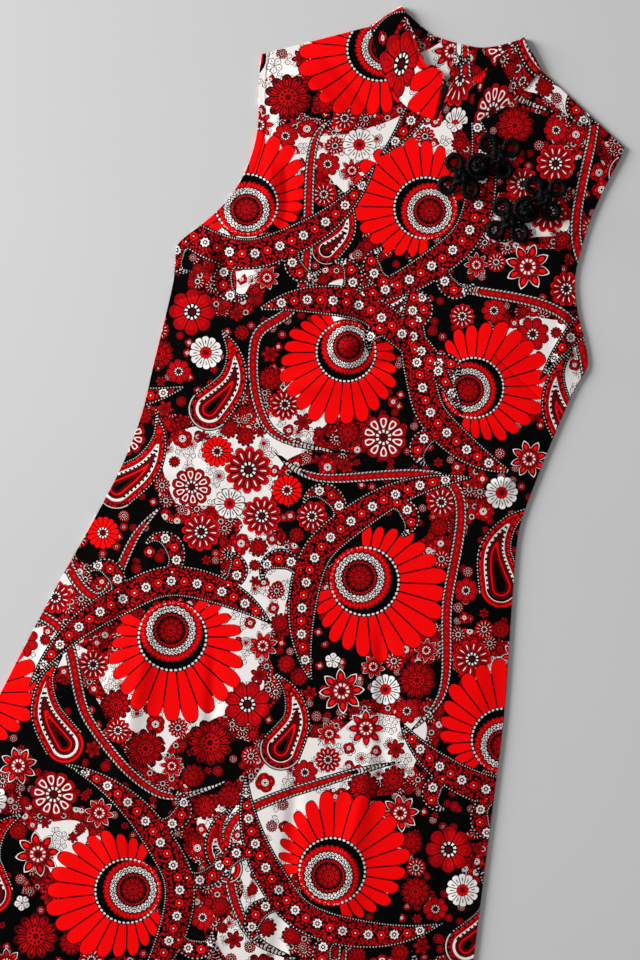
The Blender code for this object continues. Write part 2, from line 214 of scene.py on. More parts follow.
INKS = {"s": SCARLET, "h": CHERRY, "c": CRIMSON, "w": WINE, "b": BLACK, "o": WHITE}
FLOWER_KINDS = (
    # petals, pointed, slit, rim, then inks: petal, slit edge, slit, rim, ring, beads
    (15, 0.00, 0.02, 0.93, "ssscwo"),  # scarlet daisy
    (10, 0.00, 0.66, 0.80, "coccwo"),  # rosette
    (8, 0.34, 0.56, 0.90, "cwsoco"),  # star flower
    (12, 0.00, 0.30, 0.88, "oobocs"),  # white daisy
    (12, 0.04, 0.26, 0.90, "ccosbo"),  # crimson daisy
    (5, 0.12, 0.20, 0.88, "ooboob"),  # line flower
    (4, 0.00, 0.60, 0.80, "cwscow"),  # bud
    (8, 0.05, 0.50, 0.80, "hchcbo"),  # poppy
    (6, 0.30, 0.50, 0.80, "cwhwwc"),  # sprig
    (11, 0.06, 0.42, 0.86, "cbhwhb"),  # aster
)
SCATTER = (
    # layer, kinds, radius, tries in each repeat
    ("rosette", (1, 2, 4, 7, 9), 24.0, 260),
    ("rosette", (1, 2, 4, 4, 9), 20.0, 600),
    ("rosette", (4, 0, 7, 2, 3), 17.0, 700),
    ("flower", (0, 4, 9, 2, 3), 16.0, 700),
    ("flower", (4, 9, 2, 7), 13.0, 800),
    ("flower", (9, 4, 6, 8), 10.0, 1000),
    ("bud", (8, 6, 9, 4, 5), 8.5, 800),
    ("bud", (8, 6, 9, 4), 6.0, 1500),
)
SCATTER_GAP = {"rosette": -1.0, "flower": -4.0, "bud": -1.5}
MOST_PETALS = 24
RIBBON_MARK = 2000.0  # added to the length: once on a paisley, twice on a braid


def sweep(points, steps=10):
    """Closely spaced points on a smooth curve through the given ones."""
    knots = np.array([points[0], *points, points[-1]], float)
    t = np.linspace(0, 1, steps, endpoint=False)[:, None]
    spans = [0.5 * (2 * b + (c - a) * t + (2 * a - 5 * b + 4 * c - d) * t ** 2
                    + (3 * b - a - 3 * c + d) * t ** 3)
             for a, b, c, d in zip(knots, knots[1:], knots[2:], knots[3:])]
    return np.vstack([*spans, knots[-1:]])


def repeat_step(spots, origin):
    """The shortest step from origin, or one of its repeats, to each spot."""
    step = spots - origin
    columns = np.round(step[..., 0] / REPEAT_ACROSS)
    step[..., 0] -= columns * REPEAT_ACROSS
    step[..., 1] -= columns * REPEAT_DOWN / 2
    step[..., 1] -= np.round(step[..., 1] / REPEAT_DOWN) * REPEAT_DOWN
    return step


def scroll_bands(number, middle, half_sweep, swing_in, swing_out, curls):
    """A C-shaped band round one side of a bloom and its curls, as (across, down, half width)."""
    across, down, radius = BLOOMS[number][:3]
    share = np.linspace(-1, 1, 49)
    swing = np.where(share < 0, swing_in, swing_out) * np.abs(share) ** 3
    away = SCROLL_CLEAR * radius + swing
    angle = np.radians(middle + half_sweep * share)
    half = SCROLL_HALF * (1 - np.abs(share) ** 5) + 1.0
    band = np.stack([across + away * np.cos(angle), down + away * np.sin(angle), half], 1)
    bands = [band]
    for row, side, length, turn in curls:
        ahead = band[row + 1] - band[row - 1]
        share = np.linspace(0, 1, 19)
        heading = math.atan2(ahead[1], ahead[0]) + side * np.radians(28 + turn * share ** 1.3)
        stride = length / 18 * (1.25 - 0.5 * share)
        run = np.stack([np.cos(heading), np.sin(heading)], 1) * stride[:, None]
        spots = band[row, :2] + np.vstack([np.zeros(2), run[1:].cumsum(0)])
        half = 11.5 * (1 - share) ** 0.6 * (1 - 0.25 * np.sin(share * 9.0)) + 0.8
        bands.append(np.column_stack([spots, half]))
    return bands


RIBBONS = {
    # each one's middle line with its half width, and its mark
    "lower_ribbon": [(sweep(row), RIBBON_MARK) for row in PAISLEYS]
    + [(sweep(row), RIBBON_MARK * 2) for row in BRAIDS],
    "upper_ribbon": [(band, 0.0) for row in SCROLLS for band in scroll_bands(*row)],
}


def scatter_flowers():
    """Fill the ground: for each layer, flowers as (across, down, radius, turn, kind)."""
    dice = np.random.default_rng(7)
    taken = [ribbon for ribbons in RIBBONS.values() for ribbon, _ in ribbons]
    taken = np.vstack([*taken, np.array(BLOOMS, float)[:, :3]])
    layers = {"rosette": [], "flower": [], "bud": []}
    for layer, kinds, radius, tries in SCATTER:
        for spot in dice.random((tries, 2)) * (REPEAT_ACROSS, REPEAT_DOWN):
            step = repeat_step(taken[:, :2], spot)
            if (np.hypot(step[:, 0], step[:, 1]) - taken[:, 2]).min() < radius + SCATTER_GAP[layer]:
                continue
            taken = np.vstack([taken, (*spot, radius)])
            layers[layer].append((*spot, radius, dice.random() * 6.28, dice.choice(kinds)))
    return {layer: np.array(flowers) for layer, flowers in layers.items()}


MOTIFS = scatter_flowers()
MOTIFS["bloom"] = np.array([(*bloom[:3], math.radians(bloom[3]), 0.0) for bloom in BLOOMS])


def motif_places(motifs, corners, middles):
    """For each corner of a face, its place in the motif nearest to the middle of that face."""
    values = np.empty((*corners.shape[:2], 3))
    for rows in np.array_split(np.arange(len(middles)), len(middles) // 1500 + 1):
        step = repeat_step(middles[rows, None], motifs[:, :2])
        nearest = (np.hypot(step[..., 0], step[..., 1]) - motifs[:, 2]).argmin(1)
        size, turn, kind = motifs[nearest, 2:].T[..., None]
        step = step[np.arange(len(rows)), nearest][:, None] + corners[rows] - middles[rows, None]
        values[rows, :, 0] = (step[..., 0] * np.cos(turn) + step[..., 1] * np.sin(turn)) / size
        values[rows, :, 1] = (step[..., 1] * np.cos(turn) - step[..., 0] * np.sin(turn)) / size
        values[rows, :, 2] = kind
    return values


def along_ribbon(ribbon, spots):
    """For each spot: how far along the ribbon, how far aside, and how deep inside its edge."""
    start, run = ribbon[:-1, :2], np.diff(ribbon[:, :2], axis=0)
    length = np.hypot(run[:, 0], run[:, 1])
    away = spots[:, None] - start
    share = ((away * run).sum(2) / length ** 2).clip(0, 1)
    away -= share[..., None] * run
    distance = np.hypot(away[..., 0], away[..., 1])
    near = distance.argmin(1)
    spot = np.arange(len(spots)), near
    share, away, distance = share[spot], away[spot], distance[spot]
    side = np.sign(run[near, 0] * away[:, 1] - run[near, 1] * away[:, 0])
    half = ribbon[near, 2] + (ribbon[near + 1, 2] - ribbon[near, 2]) * share
    along = np.append(0, length.cumsum())[near] + share * length[near]
    return np.stack([along, side * distance, half - distance], 1)


def ribbon_places(ribbons, corners, middles):
    """For each corner of a face, its place along, across and inside the ribbon nearest to it."""
    values = np.full((*corners.shape[:2], 3), (0.0, 0.0, -50.0))
    best = np.full(len(middles), -8.0)
    for ribbon, mark in ribbons:
        step = repeat_step(middles[:, None], ribbon[:, :2])
        depth = ribbon[:, 2] - np.hypot(step[..., 0], step[..., 1])
        near = depth.argmax(1)
        pick = np.arange(len(middles)), near
        won = depth[pick] > best
        best[won] = depth[pick][won]
        spots = (ribbon[near, :2] + step[pick] - middles)[won, None] + corners[won]
        placed = along_ribbon(ribbon, spots.reshape(-1, 2)).reshape(-1, 4, 3)
        values[won] = placed + (mark, 0.0, 0.0)
    return values


def print_cloth(mesh, cloth):
    """Lay the printed repeat on a mesh of quads, whose vertices lie at these places of the cloth."""
    loops = np.empty(len(mesh.loops), int)
    mesh.loops.foreach_get("vertex_index", loops)
    corners = cloth[loops].reshape(-1, 4, 2)
    mesh.uv_layers.new(name="cloth").data.foreach_set("uv", (corners * MM).ravel())
    for places, layers in ((motif_places, MOTIFS), (ribbon_places, RIBBONS)):
        for layer, rows in layers.items():
            attribute = mesh.attributes.new(layer, "FLOAT_VECTOR", "CORNER").data
            attribute.foreach_set("vector", places(rows, corners, corners.mean(1)).ravel())


def new_group(name):
    """An empty node group that turns a place and a line width into an ink and its cover."""
    group = bpy.data.node_groups.new(name, "ShaderNodeTree")
    for socket, way, kind in (("Place", "INPUT", "Vector"), ("Line", "INPUT", "Float"),
                              ("Ink", "OUTPUT", "Color"), ("Cover", "OUTPUT", "Float")):
        group.interface.new_socket(socket, in_out=way, socket_type="NodeSocket" + kind)
    return group, partial(add, group)


def flower_group():
    """One printed flower: petals with slits, a rim, a beaded ring and an eye, chosen by its kind."""
    group, node = new_group("printed flower")
    place, line = node("NodeGroupInput").outputs[:2]
    right, up, kind = node("SeparateXYZ", place).outputs
    away = node("SQRT", node("MULTIPLY_ADD", up, up, node("MULTIPLY", right, right)))
    angle = node("ARCTAN2", up, right)
    which = node("MULTIPLY_ADD", kind, 1 / len(FLOWER_KINDS), 0.5 / len(FLOWER_KINDS))

    def by_kind(column):
        return node("ValToRGB", which, stops=[(number / len(FLOWER_KINDS), value)
                                              for number, value in enumerate(column)])

    shape = by_kind([(petals / MOST_PETALS, *rest) for petals, *rest, _ in FLOWER_KINDS])
    petals, pointed, slit = node("SeparateColor", shape).outputs
    petal_ink, slit_edge_ink, slit_ink, rim_ink, ring_ink, bead_ink = [
        by_kind([INKS[letter] for letter in letters])
        for letters in zip(*[row[-1] for row in FLOWER_KINDS])]

    turns = node("MULTIPLY", node("MULTIPLY", angle, MOST_PETALS / math.tau), petals)
    aside = node("MULTIPLY", node("PINGPONG", turns, 0.5), 2.0)  # 0 mid petal, 1 between two
    round_off = node("MULTIPLY", node("POWER", aside, 3.0), 0.17)
    taper = node("MULTIPLY_ADD", aside, pointed, round_off)
    reach = node("DIVIDE", away, node("SUBTRACT", 1.0, taper))
    low = node("DIVIDE", node("SUBTRACT", away, 0.62), 0.24)
    wide = node("DIVIDE", aside, slit)
    oval = node("MULTIPLY_ADD", wide, wide, node("MULTIPLY", low, low))
    ink = node("Mix", node("LESS_THAN", oval, 1.0), petal_ink, slit_edge_ink)
    ink = node("Mix", node("LESS_THAN", oval, 0.35), ink, slit_ink)
    ink = node("Mix", node("GREATER_THAN", reach, shape.outputs["Alpha"]), ink, rim_ink)
    gap = node("MULTIPLY", node("SUBTRACT", 1.0, aside), away)
    gap = node("MULTIPLY", node("DIVIDE", gap, petals), 0.22)
    between = node("LESS_THAN", gap, line)
    outline = node("GREATER_THAN", node("ADD", reach, line), 1.0)
    ink = node("Mix", node("MAXIMUM", between, outline), ink, BLACK)
    ink = node("Mix", node("LESS_THAN", away, 0.36), ink, ring_ink)
    beads = node("PINGPONG", node("MULTIPLY", angle, 10 / math.tau), 0.5)
    beads = node("MULTIPLY", node("LESS_THAN", beads, 0.27), node("COMPARE", away, 0.26, 0.06))
    ink = node("Mix", beads, ink, bead_ink)
    ink = node("Mix", node("LESS_THAN", away, 0.13), ink, WINE)
    node("NodeGroupOutput", ink, node("LESS_THAN", reach, 1.0))
    return group


def bloom_ink(node, place):
    """A big bloom: a fan of scarlet petals round an off-centre heart of beads and scallops."""
    right, up, _ = node("SeparateXYZ", place).outputs
    away, out, inner = [
        node("VectorMath LENGTH", node(
            "VectorMath MULTIPLY_ADD", place, (1.0, 1.0, 0.0), (shift, 0.0, 0.0)))
        for shift in (0.0, -0.27, 0.09)]
    angle = node("ARCTAN2", up, right)
    turns = node("MULTIPLY", angle, 26 / math.tau)
    aside = node("MULTIPLY", node("PINGPONG", turns, 0.5), 2.0)
    petal = node("MULTIPLY", node("ROUND", turns), 2.1)
    uneven = node("MULTIPLY_ADD", node("COSINE", petal), 0.025, 0.95)
    edge = node("MULTIPLY_ADD", node("POWER", aside, 3.0), -0.19, uneven)
    fan = node("LESS_THAN", node("ABSOLUTE", angle), FAN_HALF)
    depth = node("MULTIPLY", node("SUBTRACT", edge, out), fan)
    cover = node("MAXIMUM", node("GREATER_THAN", depth, 0.0), node("LESS_THAN", away, 0.52))
    gap = node("MULTIPLY", node("SUBTRACT", 1.0, aside), away)
    lines = node("MAXIMUM", node("LESS_THAN", gap, 0.095), node("LESS_THAN", depth, 0.016))
    ink = node("Mix", lines, SCARLET, linear("2A0406"))

    scallop = node("PINGPONG", node("MULTIPLY", angle, 30 / math.tau), 0.5)
    wavy = node("MULTIPLY_ADD", scallop, 0.05, inner)
    rings = node("ValToRGB", wavy, stops=[
        (0.00, BLACK), (0.22, CHERRY), (0.24, BLACK), (0.27, WHITE), (0.35, BLACK),
        (0.365, CRIMSON), (0.45, BLACK)])
    ink = node("Mix", node("LESS_THAN", away, 0.50), ink, rings)
    squiggle = node("TexVoronoi", place, Scale=26.0, feature="DISTANCE_TO_EDGE",
                    voronoi_dimensions="2D")
    squiggle = node("LESS_THAN", squiggle, 0.16)
    ink = node("Mix", node("MULTIPLY", squiggle, node("COMPARE", wavy, 0.31, 0.032)), ink, BLACK)
    beads = node("PINGPONG", node("MULTIPLY", angle, 46 / math.tau), 0.5)
    beads = node("MULTIPLY", beads, 3.0)
    beads = node("MULTIPLY", beads, beads)
    for ring, middle, steep, colour in (
            (away, 0.475, 62.0, linear("DAD0CD")), (wavy, 0.41, 40.0, SCARLET)):
        over = node("MULTIPLY", node("SUBTRACT", ring, middle), steep)
        over = node("MULTIPLY_ADD", over, over, beads)
        ink = node("Mix", node("LESS_THAN", over, 1.0), ink, colour)
    return ink, cover


def small_daisy(node, ink, along, aside, shift, radius, petals, outer, inner):
    """A row of small daisies along a band, one in every step of it, printed over ink."""
    local = node("WRAP", node("ADD", along, shift), 13.0, -13.0)
    away = node("SQRT", node("MULTIPLY_ADD", aside, aside, node("MULTIPLY", local, local)))
    angle = node("ARCTAN2", aside, local)
    half = node("PINGPONG", node("MULTIPLY", angle, petals / math.tau), 0.5)
    reach = node("MULTIPLY_ADD", half, radius * 0.55, away)
    for size, colour in ((radius + 1.2, BLACK), (radius, outer), (radius * 0.64, inner)):
        ink = node("Mix", node("LESS_THAN", reach, size), ink, colour)
    return node("Mix", node("LESS_THAN", away, radius * 0.2), ink, WHITE)


def ribbon_group():
    """A ribbon of the print: a scroll band with daisies, a paisley, or a braid, by its mark."""
    group, node = new_group("printed ribbon")
    along, aside, depth = node("SeparateXYZ", node("NodeGroupInput")).outputs
    texture = node("TexVoronoi", node("UVMap", uv_map="cloth"), Scale=330.0,
                   voronoi_dimensions="2D")
    ground = node("ValToRGB", texture, stops=[
        (0.0, SCARLET), (0.13, CRIMSON), (0.38, WINE), (0.54, BLACK)])
    ink = small_daisy(node, ground, along, aside, 0.0, 5.0, 8, WHITE, WINE)
    ink = small_daisy(node, ink, along, aside, 13.0, 4.6, 6, SCARLET, WINE)

    # A paisley has bands inside its edge, the outer ones broken into petals, and a row of dots.
    bands = node("ValToRGB", node("MULTIPLY", depth, 0.04), stops=[
        (0.00, WINE), (0.14, SCARLET), (0.22, BLACK), (0.25, CRIMSON), (0.33, WHITE),
        (0.36, BLACK), (0.44, WINE), (0.58, SCARLET), (0.64, WINE), (0.74, BLACK)])
    petalled = node("LESS_THAN", node("PINGPONG", along, 3.2), 1.9)
    shown = node("MAXIMUM", petalled, node("GREATER_THAN", depth, 6.3))
    dotted = node("LESS_THAN", node("PINGPONG", along, 2.4), 1.3)
    dots = node("MULTIPLY", node("COMPARE", depth, 10.0, 0.9), dotted)
    paisley = node("Mix", dots, node("Mix", shown, ground, bands), WHITE)
    ink = node("Mix", node("GREATER_THAN", along, RIBBON_MARK / 2), ink, paisley)
    ink = node("Mix", node("LESS_THAN", depth, 3.0), ink, BLACK)
    bead = node("PINGPONG", along, 1.45)
    over = node("SUBTRACT", depth, 1.7)
    over = node("MULTIPLY_ADD", over, over, node("MULTIPLY", bead, bead))
    ink = node("Mix", node("LESS_THAN", over, 0.42), ink, CHALK)

    # A braid has a rope of slanted white strands along each edge, and scarlet drops between.
    slant = node("MULTIPLY_ADD", depth, 0.9, along)
    strand = node("MULTIPLY", node("PINGPONG", slant, 1.9), 1 / 1.9)
    strands = node("ValToRGB", strand, stops=[(0.0, BLACK), (0.42, CHALK)])
    drop = node("MULTIPLY", node("PINGPONG", along, 3.8), 0.55)
    drop = node("MULTIPLY_ADD", aside, aside, node("MULTIPLY", drop, drop))
    drops = node("ValToRGB", drop, stops=[(0.0, WINE), (0.12, SCARLET), (0.95, CRIMSON)])
    braid = node("Mix", node("COMPARE", depth, 1.75, 0.8), drops, strands)
    lines = node("MAXIMUM", node("LESS_THAN", depth, 1.0), node("COMPARE", depth, 2.75, 0.3))
    braid = node("Mix", lines, braid, BLACK)
    ink = node("Mix", node("GREATER_THAN", along, RIBBON_MARK * 1.5), ink, braid)
    node("NodeGroupOutput", ink, node("GREATER_THAN", depth, 0.0))
    return group


def printed_knit():
    """Polyester knit with a smooth face: a soft, low sheen and fine ribs 1.2 mm apart."""
    material, node = new_finish("printed polyester knit")
    cloth = node("UVMap", uv_map="cloth")
    patches = node("TexNoise", cloth, noise_dimensions="2D", Scale=8.5, Detail=1.0, Roughness=0.4)
    on_white = node("GREATER_THAN", patches, 0.580)
    packed = node("COMPARE", patches, 0.533, 0.047)
    ink = node("Mix", on_white, BLACK, WHITE)

    # Small flowers grow in every cell of a field: sparse on black, as fine black outlines on
    # white, and packed so that they overlap on the bands between the two.
    field = node("TexVoronoi", cloth, voronoi_dimensions="2D", Scale=92.0, Randomness=0.8)
    place = node("VectorMath SUBTRACT", cloth, field.outputs["Position"])
    size = node("MULTIPLY_ADD", packed, -100.0, 215.0)
    size = node("MULTIPLY_ADD", on_white, -55.0, size)
    right, up, _ = node("SeparateXYZ", node("VectorMath SCALE", place, Scale=size)).outputs
    chance = node("SeparateColor", field.outputs["Color"]).outputs
    share = node("MULTIPLY_ADD", packed, 0.7, 0.34)
    share = node("MULTIPLY_ADD", on_white, 0.2, share)
    shown = node("LESS_THAN", chance[0], share)
    red, drawn = [
        node("ValToRGB", chance[1], stops=[(start, (kind,) * 4) for start, kind in kinds])
        for kinds in (((0.0, 4), (0.25, 9), (0.5, 7), (0.7, 6), (0.85, 8)),
                      ((0.0, 5), (0.62, 3), (0.78, 6)))]
    kind = node("SeparateColor", node("Mix", on_white, red, drawn))
    flowers, ribbons = flower_group(), ribbon_group()

    def layer_place(layer):
        return node("Attribute", attribute_name=layer).outputs["Vector"]

    def stamp(ink, group, place, line=None, shown=None):
        """Print a flower or a ribbon over an ink."""
        stamped = node("Group", place, line, node_tree=group)
        cover = stamped.outputs["Cover"]
        if shown:
            cover = node("MULTIPLY", cover, shown)
        return node("Mix", cover, ink, stamped)

    ink = stamp(ink, flowers, node("CombineXYZ", right, up, kind), 0.11, shown)
    for layer, line in (("bud", 0.09), ("flower", 0.055), ("rosette", 0.04)):
        ink = stamp(ink, flowers, layer_place(layer), line)
    bloom, cover = bloom_ink(node, layer_place("bloom"))
    ink = node("Mix", cover, ink, bloom)
    heart = node("VectorMath MULTIPLY_ADD", layer_place("bloom"), (5.0, 5.0, 0.0),
                 (0.45, 0.0, 9.0))
    ink = stamp(ink, flowers, heart, 0.05)
    for layer in ("lower_ribbon", "upper_ribbon"):
        ink = stamp(ink, ribbons, layer_place(layer))

    ribs = node("TexWave", cloth, Scale=130.0)
    relief = node("Bump", Strength=0.12, Distance=0.0002, Height=ribs)
    from_edge, from_dart, past_tip = node("SeparateXYZ", layer_place("sewn")).outputs
    near = node("MAXIMUM", node("ABSOLUTE", from_dart), past_tip)
    near = node("MINIMUM", node("ABSOLUTE", from_edge), near)
    groove = node("MULTIPLY", near, 0.5, use_clamp=True)
    relief = node("Bump", Strength=0.8, Distance=0.0006, Height=groove, Normal=relief)
    node("OutputMaterial", node(
        "BsdfPrincipled", Base_Color=ink, Normal=relief, Roughness=0.72,
        Specular_IOR_Level=0.022, Sheen_Weight=0.012, Sheen_Roughness=0.5))
    return material


knit = printed_knit()


# ------------------------ front panel
# One piece of the printed knit from the shoulders to the hem, shaped by a dart from each side
# seam to the bust. It lies over the back and is sewn to it along the shoulders and the sides.

WALL = 1.2
SEAM_GAP = 0.3
NECK_HALF, NECK_TOP, SHOULDER_END = 88.0, -58.0, -4.0
FRONT_NECK_DROP, FRONT_NECK_POWER = 75.0, 2.6
BACK_NECK_DROP, BACK_NECK_POWER = 34.0, 2.2
HEM, HEM_RISE = 1090.0, 14.0
ARMPIT, YOKE_TURN = 214.0, 0.04
MIDDLE_ACROSS, MIDDLE_DOWN = 2.0, 501.0
NECK_SHARE = 7 / 15
NECK_SETTLE = 60.0
LOFT, LOFT_RUN = 2.2, 34.0
SOFT_STOP = 0.7  # rounds a deep trough where it meets the back
HEM_TURN, ARMHOLE_TURN = 24.0, 8.0  # from the edge to its line of stitches
DARTS = ((-203, 266, -124, 226), (203, 264, 126, 226))  # side seam, then tip: across, down
EDGES = (
    # down, left, right
    (-14, 187, 189), (4, 185, 187), (20, 182, 184), (40, 176.5, 180), (70, 169, 176),
    (100, 167, 175.5), (130, 170.5, 178), (160, 181, 190), (185, 196, 205), (205, 210, 214.5),
    (214, 212, 214.5), (228, 209, 210.5), (250, 205, 207), (330, 200.5, 199),
    (385, 197.5, 197), (440, 202, 207.5), (500, 213.5, 221), (570, 229, 236.5),
    (640, 243, 248.5), (780, 268, 272), (1090, 321, 325),
)
FULLNESS = (
    # across, down, reach across, reach down, height
    (-110, 222, 66, 72, 2.8), (112, 220, 64, 70, 2.8), (-6, 262, 34, 46, 0.9), (-30, 470, 90, 70, 0.9),
    (-150, 590, 46, 120, 0.8), (146, 600, 50, 110, 0.9), (40, 700, 60, 90, 0.7), (-60, 900, 80, 80, 0.8),
    (-146, 30, 34, 50, 0.7), (-20, 40, 60, 30, -0.5), (168, 90, 20, 50, 0.5), (150, 900, 60, 90, 0.8),
)
FOLDS = (
    # deep end: across, down; fading end: across, down; bow, half width, height
    (-202, 264, -122, 226, 0, 7, -1.4), (202, 262, 124, 226, 0, 7, -1.4),
    (-187, 168, -150, 266, 7, 9, -3.5), (-197, 184, -168, 256, 6, 9, 3.2),
    (-174, 152, -118, 216, -9, 12, 2.7), (-180, 226, -100, 238, 6, 8, -2.4),
    (183, 138, 204, 242, 5, 7, -3.8), (172, 150, 190, 256, 7, 10, 3.1), (207, 184, 207, 268, -4, 6, 2.4),
    (-58, 210, -10, 296, 9, 11, 3.5), (-32, 204, 6, 280, 8, 8, -2.8), (-40, 274, 82, 222, 11, 12, 3.5),
    (-20, 291, 96, 246, 9, 9, -3), (52, 252, 136, 224, -6, 9, 2.3),
    (-197, 350, -80, 368, 9, 10, -2.8), (-197, 374, -64, 400, -7, 11, 3.1),
    (-201, 410, -100, 426, 8, 8, -2.6), (-204, 436, -50, 448, 10, 14, 2.4),
    (-209, 472, -116, 462, -5, 8, -2), (-152, 320, -46, 350, 7, 12, 2.2),
    (195, 298, 92, 330, -8, 10, -2.7), (196, 324, 84, 368, 9, 13, 3.1), (196, 354, 108, 386, 6, 8, -2.6),
    (199, 390, 62, 404, -8, 12, 2.4), (205, 432, 118, 430, 5, 9, -2),
    (-154, 6, -62, 68, 9, 11, 2.6), (-136, -16, -48, 44, 8, 8, -2), (146, -14, 168, 44, 5, 9, 1.8),
    (-154, 90, -138, 180, 6, 9, 2.4), (-134, 100, -116, 194, 7, 8, -2.2),
    (160, 18, 150, 140, -6, 9, -2), (174, 54, 162, 152, -6, 8, 2.2),
    (-74, 320, 74, 298, 13, 16, 2), (-34, 434, 104, 400, 11, 12, -2), (-100, 494, 76, 474, -9, 15, 1.9),
    (-160, 496, -192, 750, 11, 13, -2.3), (-128, 536, -66, 940, -16, 18, 2.5),
    (-62, 586, -22, 860, 11, 12, -2.2), (22, 552, 8, 770, -9, 12, 1.7), (90, 516, 142, 738, 10, 12, -2.2),
    (118, 616, 180, 1020, -13, 20, 2.5), (50, 674, 94, 1000, 11, 13, -2.2), (0, 694, -20, 1066, 9, 15, -2),
    (-202, 724, -262, 1050, -10, 14, 2.3), (-158, 814, -188, 1066, 9, 12, -2),
    (206, 652, 262, 1056, 10, 14, -2.2), (26, 842, 36, 1074, -7, 14, 1.9),
)


def read_curve(table, column, at):
    """A smooth value between the rows of a table whose first column rises."""
    rows = np.array(table, float)
    x, y = rows[:, 0], rows[:, column]
    low = np.maximum(np.arange(len(x)) - 1, 0)
    high = np.minimum(np.arange(len(x)) + 1, len(x) - 1)
    slope = (y[high] - y[low]) / (x[high] - x[low])
    start = np.clip(np.searchsorted(x, at, side="left") - 1, 0, len(x) - 2)
    run = x[start + 1] - x[start]
    t = np.clip((at - x[start]) / run, 0, 1)
    return (y[start] * (1 + 2 * t) * (1 - t) ** 2 + slope[start] * run * t * (1 - t) ** 2
            + y[start + 1] * t * t * (3 - 2 * t) + slope[start + 1] * run * t * t * (t - 1))


def ease(value):
    value = np.clip(value, 0.0, 1.0)
    return value * value * (3 - 2 * value)


def to_world(across, down, height):
    return np.stack([(across - MIDDLE_ACROSS) * MM, (MIDDLE_DOWN - down) * MM, height * MM], -1)


def laid(across, down, height):
    """Places of the cut, in the world: above the armpits the yoke lies a little turned."""
    fade = 1 - ease(down / ARMPIT)
    return to_world(across + YOKE_TURN * np.minimum(down, 0.0),
                    down - YOKE_TURN * across * fade, height + 0.0 * down)


def neckline(across, drop, power):
    return NECK_TOP + drop * (1 - (np.abs(across) / NECK_HALF) ** power)


def side_edge(across, down):
    """How far the panel reaches on this side of its middle."""
    down = np.maximum(down, SHOULDER_END)
    return np.where(across < 0, read_curve(EDGES, 1, down), read_curve(EDGES, 2, down))


def panel_place(share, row_share, drop, power):
    """Places of a panel: share across it, and row_share from its top edge to its hem."""
    inside = np.minimum(np.abs(share) / NECK_SHARE, 1.0)
    outside = np.maximum(np.abs(share) - NECK_SHARE, 0.0) / (1 - NECK_SHARE)
    top = np.where(outside > 0, NECK_TOP + (SHOULDER_END - NECK_TOP) * outside,
                   neckline(inside * NECK_HALF, drop, power))
    down = top + (HEM - HEM_RISE * share ** 2 - top) * row_share
    shoulder_edge = side_edge(share, SHOULDER_END)
    across = NECK_HALF * inside + (shoulder_edge - NECK_HALF) * outside
    follow_side = np.maximum(ease((down - top) / NECK_SETTLE), outside)
    across = across * (1 + (side_edge(share, down) / shoulder_edge - 1) * follow_side)
    return np.copysign(across, share), down


def fold_height(across, down):
    """Height of the soft forms and the creases of the front at places of the cut. A crease bows,
    is steeper on one side, and fades and widens from its deep end."""
    height = 0.0
    for at_across, at_down, reach_across, reach_down, rise in FULLNESS:
        away = np.hypot((across - at_across) / reach_across, (down - at_down) / reach_down)
        height = height + rise * np.exp(-1.6 * away ** 2)
    for across_1, down_1, across_2, down_2, bow, half_width, rise in FOLDS:
        run = np.array([across_2 - across_1, down_2 - down_1], float)
        length = math.hypot(*run)
        away = across - across_1, down - down_1
        share = np.clip((away[0] * run[0] + away[1] * run[1]) / length ** 2, 0.0, 1.0)
        aside = (away[0] * run[1] - away[1] * run[0]) / length - bow * 4 * share * (1 - share)
        wide = half_width * (0.6 + 0.9 * share) * np.where(aside > 0, 1.25, 0.8)
        full = np.sin(math.pi * share ** 0.6) ** 1.3
        height = height + rise * full * np.exp(-2.2 * (aside / wide) ** 2)
    return height


def from_hem(across, down):
    return HEM - HEM_RISE * (across / EDGES[-1][2]) ** 2 - down


def from_side(across, down):
    return side_edge(across, down) - np.abs(across)


def front_top(across, down):
    """Height of the front panel's upper face."""
    run = (np.abs(across) - NECK_HALF) / (side_edge(across, SHOULDER_END) - NECK_HALF)
    shoulder = NECK_TOP + (SHOULDER_END - NECK_TOP) * np.maximum(run, 0.0)
    full = (ease(from_side(across, down) / LOFT_RUN) * ease(from_hem(across, down) / LOFT_RUN)
            * ease((down - shoulder) / LOFT_RUN))
    lift = (LOFT - SEAM_GAP + fold_height(across, down)) * full
    return 2 * WALL + SEAM_GAP + (lift + np.hypot(lift, SOFT_STOP * full)) / 2


def sheet_of_cloth(node, columns, rows, place, thickness, offset=-1.0):
    """A printed grid of quads for a node: for shares 0 to 1 across and down it, place gives the
    places in the world and on the cloth, and the distances from an edge's stitches, from a dart
    and past its tip. The outermost quads are narrow, so the shading turns over at the edge."""
    sheet = bmesh.new()
    bmesh.ops.create_grid(sheet, x_segments=columns, y_segments=rows, size=0.5)
    mesh = new_mesh(f"{node}_cloth", sheet)
    spots = np.empty(len(mesh.vertices) * 3)
    mesh.vertices.foreach_get("co", spots)
    spots = spots.reshape(-1, 3)
    for axis, count in ((0, columns), (1, rows)):
        steps = (0.5 - np.abs(spots[:, axis])) * count
        inner = np.isclose(steps, 1.0, atol=0.01)
        spots[inner, axis] = np.copysign(0.5 - 0.14 / count, spots[inner, axis])
    world_places, cloth_places, sewn = place(spots[:, 0] + 0.5, 0.5 - spots[:, 1])
    mesh.vertices.foreach_set("co", world_places.ravel())
    mesh.update()
    sewn = np.stack(np.broadcast_arrays(*sewn), -1)
    mesh.attributes.new("sewn", "FLOAT_VECTOR", "POINT").data.foreach_set("vector", sewn.ravel())
    print_cloth(mesh, cloth_places)
    mesh.shade_smooth()
    mesh.materials.append(knit)
    piece = new_object(f"{node}_cloth", mesh)
    wall = piece.modifiers.new("wall", "SOLIDIFY")
    wall.thickness, wall.offset = thickness * MM, offset
    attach(piece, "root")
    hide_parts(node)
    return piece


